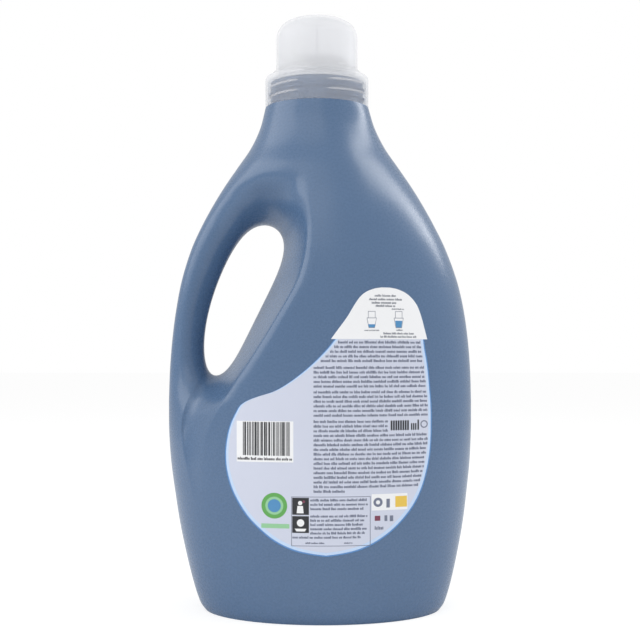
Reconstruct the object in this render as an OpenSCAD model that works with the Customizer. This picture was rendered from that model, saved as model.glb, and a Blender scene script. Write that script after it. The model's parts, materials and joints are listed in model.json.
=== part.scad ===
// Two and a half litre jug bottle with a moulded grip, a pouring fitment and a lift-off dosing cap.
// Z is up, the label side faces -Y, the grip is at -X, the parting plane of the mould is Y = 0.

/* [Body] */
// Height of the closed bottle, cap included
total_h = 327.6; // [290:0.2:380]
// Widest width of the body
body_w = 168.2; // [150:0.2:190]
// Deepest front to back size of the body
body_d = 107; // [96:0.5:125]
// Wall of the blown body
wall = 1.4; // [1.1:0.1:1.8]
// Rise of the base centre above the standing ring
push_up = 7; // [4:0.5:12]

/* [Grip] */
// Width of the finger hole at its middle
hole_w = 29.6; // [25:0.2:33]
// Front to back thickness of the grip
grip_d = 28; // [22:0.5:34]

/* [Closure] */
// Outside diameter of the cap skirt
skirt_d = 57.4; // [56:0.2:62]
// Step from the skirt in to the dome
dome_step = 6.1; // [5.8:0.1:6.6]
// Wall of the cap
cap_wall = 1.3; // [1.1:0.1:1.5]
// Height of the cap skirt up to its round edge
skirt_h = 16; // [15:0.5:20]
// Height of the whole cap above the bottle's shoulder
closure_h = 50.1; // [48:0.1:58]
// Height of the dome's rounded top
crown_h = 11.5; // [9:0.5:14]
// Reach of the cap's inner tube below the skirt
tube_reach = 5.5; // [3:0.5:7]

/* [Label] */
// Thickness of the label film
film = 0.25; // [0.2:0.05:0.35]

/* [Hidden] */
slack = 0.3;
shoulder_z = total_h - closure_h;
kx = body_w / 168.2;
ky = body_d / 107;
kz = shoulder_z / 277.5;
ring_r = skirt_d / 2;
neck_r = ring_r - cap_wall - 1.75;
neck_wall = 1.6;
bore_r = neck_r - neck_wall;
neck_top = shoulder_z + skirt_h - 2.2;
plug_r = bore_r - 0.3;
plug_in = plug_r - 0.9;
flange_t = 1.4;
flange_top = neck_top + flange_t;
skirt_z = shoulder_z + 0.3;
edge_z = skirt_z + skirt_h;
dome_r = ring_r - dome_step;
dome_z = edge_z + (ring_r - dome_r) * 0.72;
tube_z = skirt_z - tube_reach;
tube_r = dome_r - 0.9;
floor_z = tube_z - 4.5;
plug_z = floor_z - 6;
spout_r = tube_r - cap_wall - 3.2;
spout_top = neck_top + 13;

// smooth look-up in a table of [place, value] rows, cubic between the rows
function slot_of(t, z, i = 0) = (i >= len(t) - 2 || z < t[i + 1][0]) ? i : slot_of(t, z, i + 1);
function slope_at(t, i) =
    let (a = max(i - 1, 0), b = min(i + 1, len(t) - 1))
    (t[b][1] - t[a][1]) / (t[b][0] - t[a][0]);
function look(t, z) =
    let (i = slot_of(t, z), w = t[i + 1][0] - t[i][0], u = min(max((z - t[i][0]) / w, 0), 1))
    t[i][1] * (1 + 2 * u) * (1 - u) * (1 - u) + slope_at(t, i) * w * u * (1 - u) * (1 - u)
    + t[i + 1][1] * u * u * (3 - 2 * u) - slope_at(t, i + 1) * w * u * u * (1 - u);
function ease(u) = let (v = min(max(u, 0), 1)) v * v * (3 - 2 * v);

// body outline: share of the half width over the neck ring above the waist, of the half width below it
waist_z = 115;
width_top = [[115, 1], [131.8, 0.991], [148.5, 0.9676], [165.3, 0.927], [182, 0.8623], [198.8, 0.7597],
    [210, 0.666], [221.1, 0.558], [232.3, 0.4347], [243.5, 0.2961], [254.6, 0.1584], [265.8, 0.0603], [277.5, 0]];
width_low = [[0, 0.776], [3.4, 0.806], [14.5, 0.8499], [31.3, 0.8974], [48, 0.9359], [64.8, 0.9638],
    [81.5, 0.987], [98.3, 0.9982], [115, 1]];
depth_top = [[115, 1], [150, 0.99], [180, 0.94], [200, 0.85], [220, 0.69], [240, 0.42], [254, 0.19], [266, 0.055],
    [277.5, 0]];
depth_low = [[0, 0.905], [3.4, 0.93], [14.5, 0.945], [40, 0.965], [80, 0.99], [115, 1]];
lean = [[0, 1.4], [48, 0.75], [98, 0], [165, -0.15], [210, -1.2], [254, -1.2], [277.5, -1.7]];

function half_w(z) = let (s = z / kz) s > waist_z
    ? ring_r + (body_w / 2 - ring_r) * look(width_top, s) : body_w / 2 * look(width_low, s);
function half_d(z) = let (s = z / kz) s > waist_z
    ? ring_r + (body_d / 2 - ring_r) * look(depth_top, s) : body_d / 2 * look(depth_low, s);
function mid_x(z) = look(lean, z / kz);
axis_x = mid_x(shoulder_z);

// finger hole, measured in q = height over the half height of the hole
hole_mid = 170.7 * kz;
hole_half = 41.9 * kz;
function q_of(z) = (z - hole_mid) / hole_half;
function hole_x(q) = kx * (q > 1 ? -31 + 4.7 * (q - 1) : q < -1 ? -58.1 + 9.7 * (q + 1)
    : -45.6 + 16.66 * q + 3.45 * q * q - 3.16 * q * q * q - 2.35 * q * q * q * q);
function hole_c(q) = kx * hole_w / 29.6 * (q > 1 ? 22 + 10.2 * (q - 1) : q < -1 ? 13.6 + 1.8 * (-1 - q)
    : 14.8 + 4.2 * q + 3 * q * q);
function hole_edge(q, side) = hole_x(q) + side * hole_c(q) * sqrt(max(0, 1 - q * q));

// distance of the pocket's rim from the hole, by direction round the hole
rim = [[-180, 1.9], [-170, 1.87], [-150, 1.4], [-120, 0.75], [-95, 0.5], [-75, 0.46], [-60, 0.49], [-43, 0.53],
    [-31, 0.66], [-21, 0.81], [-14, 0.93], [-8, 1], [-2, 1.04], [5, 1], [14, 0.81], [23, 0.64], [35, 0.52],
    [50, 0.48], [69, 0.5], [90, 0.56], [106, 0.6], [125, 0.8], [150, 1.4], [170, 1.87], [180, 1.9]];

// fold at the pocket's right, crest that runs down from the hole's lower end, and the dip between them
fold = [[68, -62.4], [77.7, -62.4], [85.9, -61.8], [95.2, -60], [103.4, -57.2], [112.1, -52.6], [120.2, -47.6],
    [127.2, -43.2], [134.6, -38], [142.6, -32.7], [150, -27.9], [157.7, -23], [167.5, -17.2], [177.2, -12],
    [189.3, -7.8], [198, -6.3], [206.9, -6], [215.9, -7.6], [226.2, -12.6], [237.6, -18], [250, -16]];
ridge = [[60, -66.5], [68, -68.5], [80, -71.6], [92, -74], [104, -75], [114, -72.6], [124, -67.2], [131, -64.6],
    [140, -62], [150, -58.5], [170, -50]];
valley = [[60, 0], [76, 0.4], [90, 1.6], [104, 4.2], [118, 6], [132, 6.5], [150, 0]];

// half depth of the body at a place seen from the front
function blend(a, b, n) = let (low = min(a, b), high = max(a, b))
    low < 0.01 ? 0 : low * pow(1 + pow(low / high, n), -1 / n);
function bare_y(x, z) = let (t = (x - mid_x(z)) / half_w(z)) half_d(z) * sqrt(max(0, 1 - t * t));
function pocket_y(q, p, f, full) =
    let (e = max(0, norm([p, q]) - 1), ec = look(rim, f), r = 0.12 + 0.18 * ease((abs(f) - 70) / 70))
    full * sqrt((e * e + 2 * r * e) / (ec * ec + 2 * r * ec));
function grip_y(x, z) =
    let (q = q_of(z), far = q > 0 ? ease((q - 0.4) / 1.15) : ease((-q - 0.8) / 0.8),
        left = mid_x(z) - half_w(z), qq = min(max(q, -0.6), 0.6),
        own = (hole_edge(qq, -1) - (mid_x(hole_mid + qq * hole_half) - half_w(hole_mid + qq * hole_half))) / 2,
        w = own + (half_w(z) - own) * far, g = grip_d / 2 + (half_d(z) - grip_d / 2) * far,
        u = min(max((x - left) / w, 0), 1), over = max(0, x - hole_x(q)))
    g * sqrt(max(0, 1 - (1 - u) * (1 - u))) * (1 + 1.2 * pow(far, 3)) + over + 0.2 * over * over;
function under_y(x, z, full, left, right) =
    let (share = min(max((x - left) / (right - left), 0), 1), crest = blend(bare_y(left, z), grip_y(left, z), 7),
        dip = look(valley, z / kz) * sin(180 * pow(share, 0.66)),
        deep = share < 1 ? crest + (bare_y(right, z) - crest) * share - norm([dip, 0.5]) + 0.5 : full)
    deep + (full - deep) * ease((z / kz - 132) / 16);
function shaped_y(x, z, full) =
    let (q = q_of(z), p = (x - hole_x(q)) / hole_c(q), f = atan2(q, p), crisp = 5 + 25 * ease((90 - abs(f + 20)) / 45),
        pocket = pocket_y(q, p, f, full), gripped = blend(blend(full, pocket, crisp), grip_y(x, z), 7),
        left = kx * look(ridge, z / kz), right = kx * look(fold, z / kz),
        side = z < 170 * kz ? ease((x - left + 1) / 2.4) : 0)
    side > 0 ? gripped + (blend(under_y(x, z, full, left, right), pocket, crisp) - gripped) * side : gripped;
function skin_y(x, z) =
    let (full = bare_y(x, z), mix = ease((z / kz - 55) / 10) * ease((248 - z / kz) / 22))
    mix == 0 ? full : full + (shaped_y(x, z, full) - full) * mix;

// rows and columns of the skin's mesh; the finger hole takes the cells of the middle columns,
// and two lines of the mesh follow the fold and the ridge
cols = 28;
hole_l = 6;
hole_r = 11;
fold_i = 15;
row_z = [0, 0.9, 3.4, 8, 16, 28, 42, 56, 68, 79, 89, 98, 107, 116, 125, 134, 143, 153, 164, 175, 186, 196, 204,
    211, 218, 225, 232, 239, 246, 253, 260, 266.5, 272, 275.5, 277.5];
row_lo = 15;
row_hi = 22;
rows = len(row_z) - 1;
function place(i, j) =
    let (z = row_z[j] * kz, q = q_of(z), a = half_w(z), m = mid_x(z), even = m - a * cos(180 * i / cols),
        low = j < row_lo, high = j > row_hi, qe = q_of(row_z[row_hi] * kz),
        fx = kx * look(fold, row_z[j]),
        el = low ? kx * look(ridge, row_z[j]) : high ? hole_edge(qe, -1) + hole_x(q) - hole_x(qe) : hole_edge(q, -1),
        er = low ? el + 0.5 * (fx - el) : high ? el + 0.62 * (fx - el) : hole_edge(q, 1),
        strip = i <= hole_l ? (m - a) + (el - m + a) * (1 - cos(180 * i / hole_l)) / 2
            : i < hole_r ? el + (er - el) * (0.5 - cos(180 * (i - hole_l) / (hole_r - hole_l)) / 2)
            : i < fold_i ? er + (fx - er) * (1 - cos(90 * (i - hole_r) / (fold_i - hole_r)))
            : fx + (m + a - fx) * sin(90 * (i - fold_i) / (cols - fold_i)),
        far = high ? ease((j - row_hi - 2) / 7) : low ? ease((row_lo - j - 4) / 8) : 0,
        x = strip + (even - strip) * far,
        inside = i > hole_l && i < hole_r,
        lift = !inside ? 0 : j >= row_hi ? edge_z_at(x, 1) - row_z[row_hi] * kz
            : j <= row_lo ? edge_z_at(x, -1) - row_z[row_lo] * kz : 0,
        fade = j >= row_hi ? pow(0.72, j - row_hi) : pow(0.72, row_lo - j))
    [x, z + lift * fade];
// height of the hole's upper or lower edge over a place on the x axis, found by halving
function edge_z_at(x, side) =
    let (zj = row_z[side > 0 ? row_hi : row_lo] * kz, lo = hole_edge(q_of(zj), -1), hi = hole_edge(q_of(zj), 1),
        xx = min(max(x, lo), hi))
    seek(xx, side, abs(q_of(zj)), 1, 14);
function seek(x, side, q0, q1, n) =
    let (qm = (q0 + q1) / 2, in = x >= hole_edge(side * qm, -1) && x <= hole_edge(side * qm, 1))
    n == 0 ? hole_mid + side * qm * hole_half : in ? seek(x, side, qm, q1, n - 1) : seek(x, side, q0, qm, n - 1);
function on_hole(i, j) = i >= hole_l && i <= hole_r && j >= row_lo && j <= row_hi;

flat = [for (j = [0:rows]) [for (i = [0:cols]) place(i, j)]];
front = [for (j = [0:rows]) [for (i = [0:cols])
    let (p = flat[j][i])
    [p[0], (i == 0 || i == cols || on_hole(i, j)) ? 0 : -skin_y(p[0], p[1]), p[1]]]];

// outward direction at a corner of the mesh
function rho_at(x, z) = let (q = q_of(z)) norm([(x - hole_x(q)) / hole_c(q), q]);
function unit(v) = v / max(norm(v), 0.000001);
function outward(i, j) =
    let (p = front[j][i], up = front[min(j + 1, rows)][i], dn = front[max(j - 1, 0)][i])
    on_hole(i, j)
    ? unit([rho_at(p[0] - 0.1, p[2]) - rho_at(p[0] + 0.1, p[2]), 0,
        rho_at(p[0], p[2] - 0.1) - rho_at(p[0], p[2] + 0.1)])
    : i == 0 ? unit([dn[2] - up[2], 0, up[0] - dn[0]])
    : i == cols ? unit([up[2] - dn[2], 0, dn[0] - up[0]])
    : unit(cross(front[j][i + 1] - front[j][i - 1], up - dn));
function inset(i, j) = front[j][i] - wall * outward(i, j);

// closed rings of points, the front half first, then its mirror image
function ring(row) = [for (i = [0:cols]) row[i], for (i = [cols - 1:-1:1]) [row[i][0], -row[i][1], row[i][2]]];
function small(row, s, z) = [for (p = row) [mid_x(0) + (p[0] - mid_x(0)) * s, p[1] * s, z]];
function round_row(r, z) = [for (i = [0:cols]) [axis_x - r * cos(180 * i / cols),
    (i == 0 || i == cols) ? 0 : -r * sin(180 * i / cols), z]];
inner_lo = 2;
inner_hi = rows - 2;
base_rise = [[0.2, 1], [0.42, 0.9], [0.65, 0.68], [0.86, 0.28], [0.93, 0]];
out_base = [for (b = base_rise) ring(small(front[0], b[0], b[1] * push_up))];
out_skin = [for (j = [0:rows]) ring(front[j])];
neck_join = [ring(round_row(neck_r + 0.1, shoulder_z)), ring(round_row(neck_r + 0.1, shoulder_z + 2)),
    ring(round_row(bore_r - 0.05, shoulder_z + 2)), ring(round_row(bore_r - 0.05, shoulder_z - wall - 0.4)),
    ring(round_row(ring_r - 2 * wall, shoulder_z - wall - 0.9))];
in_skin = [for (j = [inner_hi:-1:inner_lo]) ring([for (i = [0:cols]) inset(i, j)])];
in_base = [for (k = [len(base_rise) - 1:-1:0])
    ring(small(front[0], base_rise[k][0] - (k > 2 ? 0.012 : 0), base_rise[k][1] * push_up + wall))];
rings = concat(out_base, out_skin, neck_join, in_skin, in_base);
first_out = len(out_base);
first_in = first_out + len(out_skin) + len(neck_join);
around = 2 * cols;

// mesh row of a ring, or -1 off the skin
function row_of(r) = (r >= first_out && r <= first_out + rows) ? r - first_out
    : (r >= first_in && r < first_in + len(in_skin)) ? inner_hi - (r - first_in) : -1;
function id(r, k) =
    let (w = k % around, i = w <= cols ? w : around - w, j = row_of(r))
    r * around + ((w > cols && j >= 0 && on_hole(i, j)) ? i : w);
function open_cell(r, k) =
    let (c = k < cols ? k : around - 1 - k, j = min(row_of(r), row_of(r + 1)), jj = max(row_of(r), row_of(r + 1)))
    j >= row_lo && jj <= row_hi && c >= hole_l && c < hole_r;
last = len(rings) - 1;
shell_faces = concat(
    [for (r = [0:last - 1]) for (k = [0:around - 1]) if (!open_cell(r, k))
        [id(r, k), id(r + 1, k), id(r + 1, k + 1), id(r, k + 1)]],
    [[for (k = [0:around - 1]) k]],
    [[for (k = [around - 1:-1:0]) last * around + k]]);
shell_points = [for (r = rings) each r];

// bottle: blown shell with the hollow grip, threaded neck without its fine thread
module neck_finish() {
    translate([axis_x, 0, 0]) rotate_extrude($fn = 96) polygon([
        [bore_r, shoulder_z + 1], [neck_r, shoulder_z + 1], [neck_r, neck_top - 0.5], [neck_r - 0.5, neck_top],
        [bore_r, neck_top]]);
}

module bottle() {
    color([0.40, 0.47, 0.60]) union() {
        polyhedron(shell_points, shell_faces, convexity = 8);
        neck_finish();
    }
}

// pour_spout: plug and flange in the neck, sloping drain floor, tongue open at the back
module pour_spout() {
    color([0.93, 0.93, 0.94]) translate([axis_x, 0, 0]) union() {
        rotate_extrude($fn = 96) polygon([
            [plug_in, plug_z], [plug_r, plug_z], [plug_r, neck_top], [neck_r, neck_top],
            [neck_r, flange_top - 0.4], [neck_r - 0.4, flange_top], [plug_in, flange_top]]);
        difference() {
            translate([0, 0, floor_z - 3.2]) rotate([0, 6, 0])
                translate([0, 0, -0.6]) cylinder(r = plug_r + 1.5, h = 1.2, $fn = 96);
            translate([0, 0, floor_z - 20]) cylinder(r = spout_r - 1.2, h = 40, $fn = 96);
            translate([0, 0, floor_z - 20]) difference() {
                cylinder(r = plug_r + 6, h = 40, $fn = 96);
                translate([0, 0, -1]) cylinder(r = plug_in + 0.4, h = 42, $fn = 96);
            }
        }
        difference() {
            translate([0, 0, plug_z]) cylinder(r = spout_r, h = spout_top - plug_z, $fn = 96);
            translate([0, 0, plug_z - 1]) cylinder(r = spout_r - 1.2, h = spout_top - plug_z + 2, $fn = 96);
            translate([-spout_r - 5, -spout_r - 5, floor_z + 6]) rotate([0, -40, 0])
                translate([-60, 0, 0]) cube([90, 2 * spout_r + 10, 90]);
            translate([-spout_r - 5, -4.5, plug_z - 1]) cube([spout_r, 9, 60]);
        }
    }
}

// dosing_cap: measuring cup with its skirt, seal rib and inner tube, closed end up
function crown_at(t, r, top) = [r * pow(sin(t), 0.635), top - crown_h * (1 - pow(cos(t), 0.909))];
module dosing_cap() {
    color([0.90, 0.91, 0.93]) translate([axis_x, 0, 0]) rotate_extrude($fn = 96) polygon(concat(
        [for (t = [0:7.5:90]) crown_at(t, dome_r, total_h)],
        [[dome_r, dome_z], [ring_r - 1.2, edge_z + 0.7], [ring_r - 0.3, edge_z - 0.2], [ring_r, edge_z - 1.2],
            [ring_r, skirt_z], [ring_r - cap_wall, skirt_z], [ring_r - cap_wall, edge_z - 1.6],
            [neck_r - 0.4, edge_z - 0.7], [neck_r - 0.4, flange_top + slack],
            [neck_r - 1.4, flange_top + slack], [neck_r - 1.4, edge_z - 0.4], [dome_r + 0.1, edge_z],
            [tube_r, tube_z + 2], [tube_r - 0.3, tube_z], [tube_r - cap_wall + 0.2, tube_z],
            [tube_r - cap_wall, tube_z + 1], [dome_r - cap_wall, dome_z]],
        [for (t = [90:-7.5:0]) crown_at(t, dome_r - cap_wall, total_h - cap_wall)]));
}

// back_label: thin film on the label side, its edges by rows of [height, left, right]
label_rows = [[36.3, 1, 5.3], [36.9, -4.2, 10.5], [38.4, -11.8, 18.1], [41, -19, 25.5], [44.5, -25.3, 32],
    [49, -31, 38.2], [55, -37.2, 44.3], [62, -42.2, 49.6], [70, -46.3, 53.6], [79, -48.9, 56.3], [88, -49.7, 58],
    [97, -48.8, 58.7], [104, -46.9, 58.8], [110, -44.1, 58.8], [114.7, -40.9, 58.6], [117.9, -34.5, 58.4],
    [121.1, -24.5, 58.1], [125.5, -16.8, 57.7], [131, -9.4, 57.2], [137, -2.6, 56.4], [143, 3.2, 55.3],
    [147.7, 6.9, 54.7], [148.7, 5.6, 56.3], [153, 8.9, 55.2], [160, 14, 53.3], [166, 17.6, 51], [170, 20.4, 48],
    [172.8, 23.6, 44.4], [174.6, 28, 40], [175.3, 31.5, 36.5]];
label_cols = 10;
function peel(i, j, d) =
    let (r = label_rows[j], x = kx * (r[1] + (r[2] - r[1]) * i / label_cols), z = r[0] * kz,
        sx = (skin_y(x + 0.5, z) - skin_y(x - 0.5, z)), sz = (skin_y(x, z + 0.5) - skin_y(x, z - 0.5)))
    [x, -skin_y(x, z), z] + d * unit([-sx, -1, -sz]);
label_points = [for (d = [slack, slack + film]) for (j = [0:len(label_rows) - 1]) for (i = [0:label_cols])
    peel(i, j, d)];
function lid(s, j, i) = (s * len(label_rows) + j) * (label_cols + 1) + i;
module back_label() {
    n = label_cols;
    m = len(label_rows) - 1;
    color([0.80, 0.84, 0.90]) polyhedron(label_points, concat(
        [for (j = [0:m - 1]) for (i = [0:n - 1])
            [lid(1, j, i), lid(1, j + 1, i), lid(1, j + 1, i + 1), lid(1, j, i + 1)]],
        [for (j = [0:m - 1]) for (i = [0:n - 1])
            [lid(0, j, i), lid(0, j, i + 1), lid(0, j + 1, i + 1), lid(0, j + 1, i)]],
        [for (j = [0:m - 1]) [lid(0, j, 0), lid(0, j + 1, 0), lid(1, j + 1, 0), lid(1, j, 0)]],
        [for (j = [0:m - 1]) [lid(0, j + 1, n), lid(0, j, n), lid(1, j, n), lid(1, j + 1, n)]],
        [for (i = [0:n - 1]) [lid(0, 0, i + 1), lid(0, 0, i), lid(1, 0, i), lid(1, 0, i + 1)]],
        [for (i = [0:n - 1]) [lid(0, m, i), lid(0, m, i + 1), lid(1, m, i + 1), lid(1, m, i)]]), convexity = 4);
}

bottle();
pour_spout();
dosing_cap();
back_label();
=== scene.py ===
"""Looks of a jug-shaped fabric softener bottle with a moulded grip and a translucent dosing cap.

Z is up, the label side faces -Y and the grip is at -X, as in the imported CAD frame. Sizes in the
dataclasses are millimetres, and meshes are written in metres.
"""

import json
import logging
import math
import random
from dataclasses import dataclass, replace
from enum import Enum
from functools import partial

import bmesh
import bpy
import numpy as np
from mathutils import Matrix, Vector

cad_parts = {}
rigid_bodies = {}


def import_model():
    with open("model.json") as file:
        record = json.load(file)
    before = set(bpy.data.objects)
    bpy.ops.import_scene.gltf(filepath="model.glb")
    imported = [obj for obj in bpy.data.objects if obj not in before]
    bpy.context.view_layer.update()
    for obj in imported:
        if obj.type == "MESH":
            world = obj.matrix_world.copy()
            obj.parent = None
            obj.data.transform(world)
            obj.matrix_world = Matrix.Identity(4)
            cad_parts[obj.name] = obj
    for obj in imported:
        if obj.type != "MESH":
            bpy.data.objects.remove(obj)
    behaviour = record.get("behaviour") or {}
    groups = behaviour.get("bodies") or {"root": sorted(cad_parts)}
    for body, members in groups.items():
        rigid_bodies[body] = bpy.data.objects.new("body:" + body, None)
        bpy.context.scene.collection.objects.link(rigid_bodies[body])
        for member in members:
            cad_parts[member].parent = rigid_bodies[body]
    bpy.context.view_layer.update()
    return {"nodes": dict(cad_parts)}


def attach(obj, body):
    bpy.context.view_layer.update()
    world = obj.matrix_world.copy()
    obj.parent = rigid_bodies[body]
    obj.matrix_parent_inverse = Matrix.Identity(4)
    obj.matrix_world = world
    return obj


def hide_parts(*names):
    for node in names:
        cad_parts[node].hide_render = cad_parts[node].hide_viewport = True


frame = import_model()
LOG = logging.getLogger("softener_bottle")
MM = 0.001
WHITE = (1.0, 1.0, 1.0, 1.0)
# What one face of a milky wall leaves of the light that goes straight through it, linear
CLEAR_TINT = (0.95, 0.955, 0.96, 1.0)

Array = np.ndarray
Values = np.ndarray | float
Piece = bpy.types.Object
Faces = list[tuple[int, ...]]
Point = tuple[float, float]
Table = tuple[Point, ...]
Line = tuple[float, float, float, float]
Sides = tuple[tuple[float, float, float], ...]


def look(table: Table, place: Values) -> Values:
    """Reads a smooth cubic through the rows of a table.

    Args:
        table: rows of (place, value), places rising.
        place: where the table is read.

    Returns:
        The value at each place, held at the ends.
    """
    rows = np.array(table, float)
    x, v = rows[:, 0], rows[:, 1]
    n = len(x)
    i = np.clip(np.searchsorted(x, place, side="right") - 1, 0, n - 2)
    before = np.maximum(np.arange(n) - 1, 0)
    after = np.minimum(np.arange(n) + 1, n - 1)
    slope = (v[after] - v[before]) / (x[after] - x[before])
    w = x[i + 1] - x[i]
    u = np.clip((place - x[i]) / w, 0, 1)
    rise = v[i] * (1 + 2 * u) * (1 - u) ** 2 + v[i + 1] * u * u * (3 - 2 * u)
    return rise + slope[i] * w * u * (1 - u) ** 2 - slope[i + 1] * w * u * u * (1 - u)


def ease(u: Values) -> Values:
    """Rises smoothly from 0 to 1 as u does."""
    v = np.clip(u, 0, 1)
    return v * v * (3 - 2 * v)


def linear(hex_colour: str) -> tuple[float, float, float, float]:
    """Turns an sRGB hex colour into linear RGBA."""
    parts = [int(hex_colour[k : k + 2], 16) / 255 for k in (1, 3, 5)]
    red, green, blue = (c / 12.92 if c <= 0.04045 else ((c + 0.055) / 1.055) ** 2.4 for c in parts)
    return (red, green, blue, 1.0)


def pick(piece: Piece) -> None:
    """Makes one object the only selected and the active one, so an operator acts on it alone."""
    for thing in bpy.data.objects:
        thing.select_set(False)
    bpy.context.view_layer.objects.active = piece
    piece.select_set(True)


def tube_faces(first: int, rings: int, corners: int) -> Faces:
    """Faces of a closed tube of rings of points, with both its ends capped.

    Args:
        first: number of the first point.
        rings: how many rings it has.
        corners: points in each ring.
    """
    last = first + (rings - 1) * corners
    faces = [tuple(range(first, first + corners)), tuple(range(last + corners - 1, last - 1, -1))]
    for p in range(first, last, corners):
        for s in range(corners):
            after = (s + 1) % corners
            faces.append((p + s, p + after, p + corners + after, p + corners + s))
    return faces


def link_object(name: str, data: bpy.types.ID) -> Piece:
    """Puts a mesh, camera or lamp in the scene as an object."""
    made = bpy.data.objects.new(name, data)
    bpy.context.scene.collection.objects.link(made)
    return made


def make_object(name: str, points: Array, faces: Faces) -> Piece:
    """Makes a smooth-shaded mesh object from points in millimetres.

    Args:
        name: the piece's name.
        points: one row of x, y, z for each point.
        faces: point numbers of each face.

    Returns:
        The new object, at the origin.
    """
    mesh = bpy.data.meshes.new(name)
    mesh.from_pydata((np.asarray(points, float) * MM).tolist(), [], faces)
    mesh.update()
    mesh.polygons.foreach_set("use_smooth", [True] * len(mesh.polygons))
    return link_object(name, mesh)


def clean(piece: Piece, distance: float = 0.004) -> None:
    """Merges doubled points, drops loose ones and turns all faces outwards.

    Args:
        piece: the object whose mesh is cleaned.
        distance: how near two points are merged, in millimetres.
    """
    work = bmesh.new()
    work.from_mesh(piece.data)
    bmesh.ops.remove_doubles(work, verts=work.verts, dist=distance * MM)
    loose = [v for v in work.verts if not v.link_faces]
    bmesh.ops.delete(work, geom=loose, context="VERTS")
    bmesh.ops.recalc_face_normals(work, faces=work.faces)
    work.to_mesh(piece.data)
    work.free()
    piece.data.update()


def apply_modifier(piece: Piece, kind: str, **settings: object) -> None:
    """Adds a modifier, sets it and applies it."""
    pick(piece)
    modifier = piece.modifiers.new(kind.title(), kind)
    for key, value in settings.items():
        setattr(modifier, key, value)
    bpy.ops.object.modifier_apply(modifier=modifier.name)


def sharpen(piece: Piece, degrees: float) -> None:
    """Smooths the shading except over edges sharper than an angle."""
    pick(piece)
    bpy.ops.object.shade_smooth_by_angle(angle=math.radians(degrees))


def spin_profile(name: str, outline: list[Point], axis_x: float, steps: int) -> Piece:
    """Turns a closed outline of (radius, height) round an upright axis, as on a lathe.

    Args:
        name: the piece's name.
        outline: the section's corners in millimetres, in order.
        axis_x: where the axis stands on X.
        steps: how many steps make the full turn.

    Returns:
        The turned solid.
    """
    count = len(outline)
    mesh = bpy.data.meshes.new(name)
    points = [((axis_x + r) * MM, 0.0, z * MM) for r, z in outline]
    ends = [(k, (k + 1) % count) for k in range(count)]
    edges = [(a, b) for a, b in ends if outline[a][0] > 1e-6 or outline[b][0] > 1e-6]
    mesh.from_pydata(points, edges, [])
    made = link_object(name, mesh)
    pick(made)
    bpy.ops.object.mode_set(mode="EDIT")
    bpy.ops.mesh.select_all(action="SELECT")
    bpy.ops.mesh.spin(
        steps=steps, angle=2 * math.pi, use_auto_merge=True, center=(axis_x * MM, 0, 0), axis=(0, 0, 1)
    )
    bpy.ops.mesh.select_all(action="SELECT")
    bpy.ops.mesh.remove_doubles(threshold=0.004 * MM)
    bpy.ops.mesh.normals_make_consistent(inside=False)
    bpy.ops.mesh.faces_shade_smooth()
    bpy.ops.object.mode_set(mode="OBJECT")
    return made


def arc(centre: Point, radius: float, start: float, end: float, steps: int) -> list[Point]:
    """Points on an arc in the section plane, angles in degrees from the outward direction."""
    turns = [math.radians(start + (end - start) * k / steps) for k in range(steps + 1)]
    return [(centre[0] + radius * math.cos(t), centre[1] + radius * math.sin(t)) for t in turns]


def empty_tree(owner: bpy.types.Material | bpy.types.World) -> bpy.types.NodeTree:
    """Switches nodes on and empties their tree."""
    owner.use_nodes = True
    owner.node_tree.nodes.clear()
    return owner.node_tree


def add_node(
    tree: bpy.types.NodeTree, kind: str, inputs: dict[str | int, object], **settings: object
) -> bpy.types.Node:
    """Adds one shader node with its settings, input values and links.

    Args:
        tree: the node tree.
        kind: the node's type name.
        inputs: by socket name or number, a value, or an output socket that is linked in.
        settings: attributes of the node.

    Returns:
        The new node.
    """
    node = tree.nodes.new(kind)
    for key, value in settings.items():
        setattr(node, key, value)
    for key, value in inputs.items():
        if isinstance(value, bpy.types.NodeSocket):
            tree.links.new(value, node.inputs[key])
        else:
            node.inputs[key].default_value = value
    return node


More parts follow.
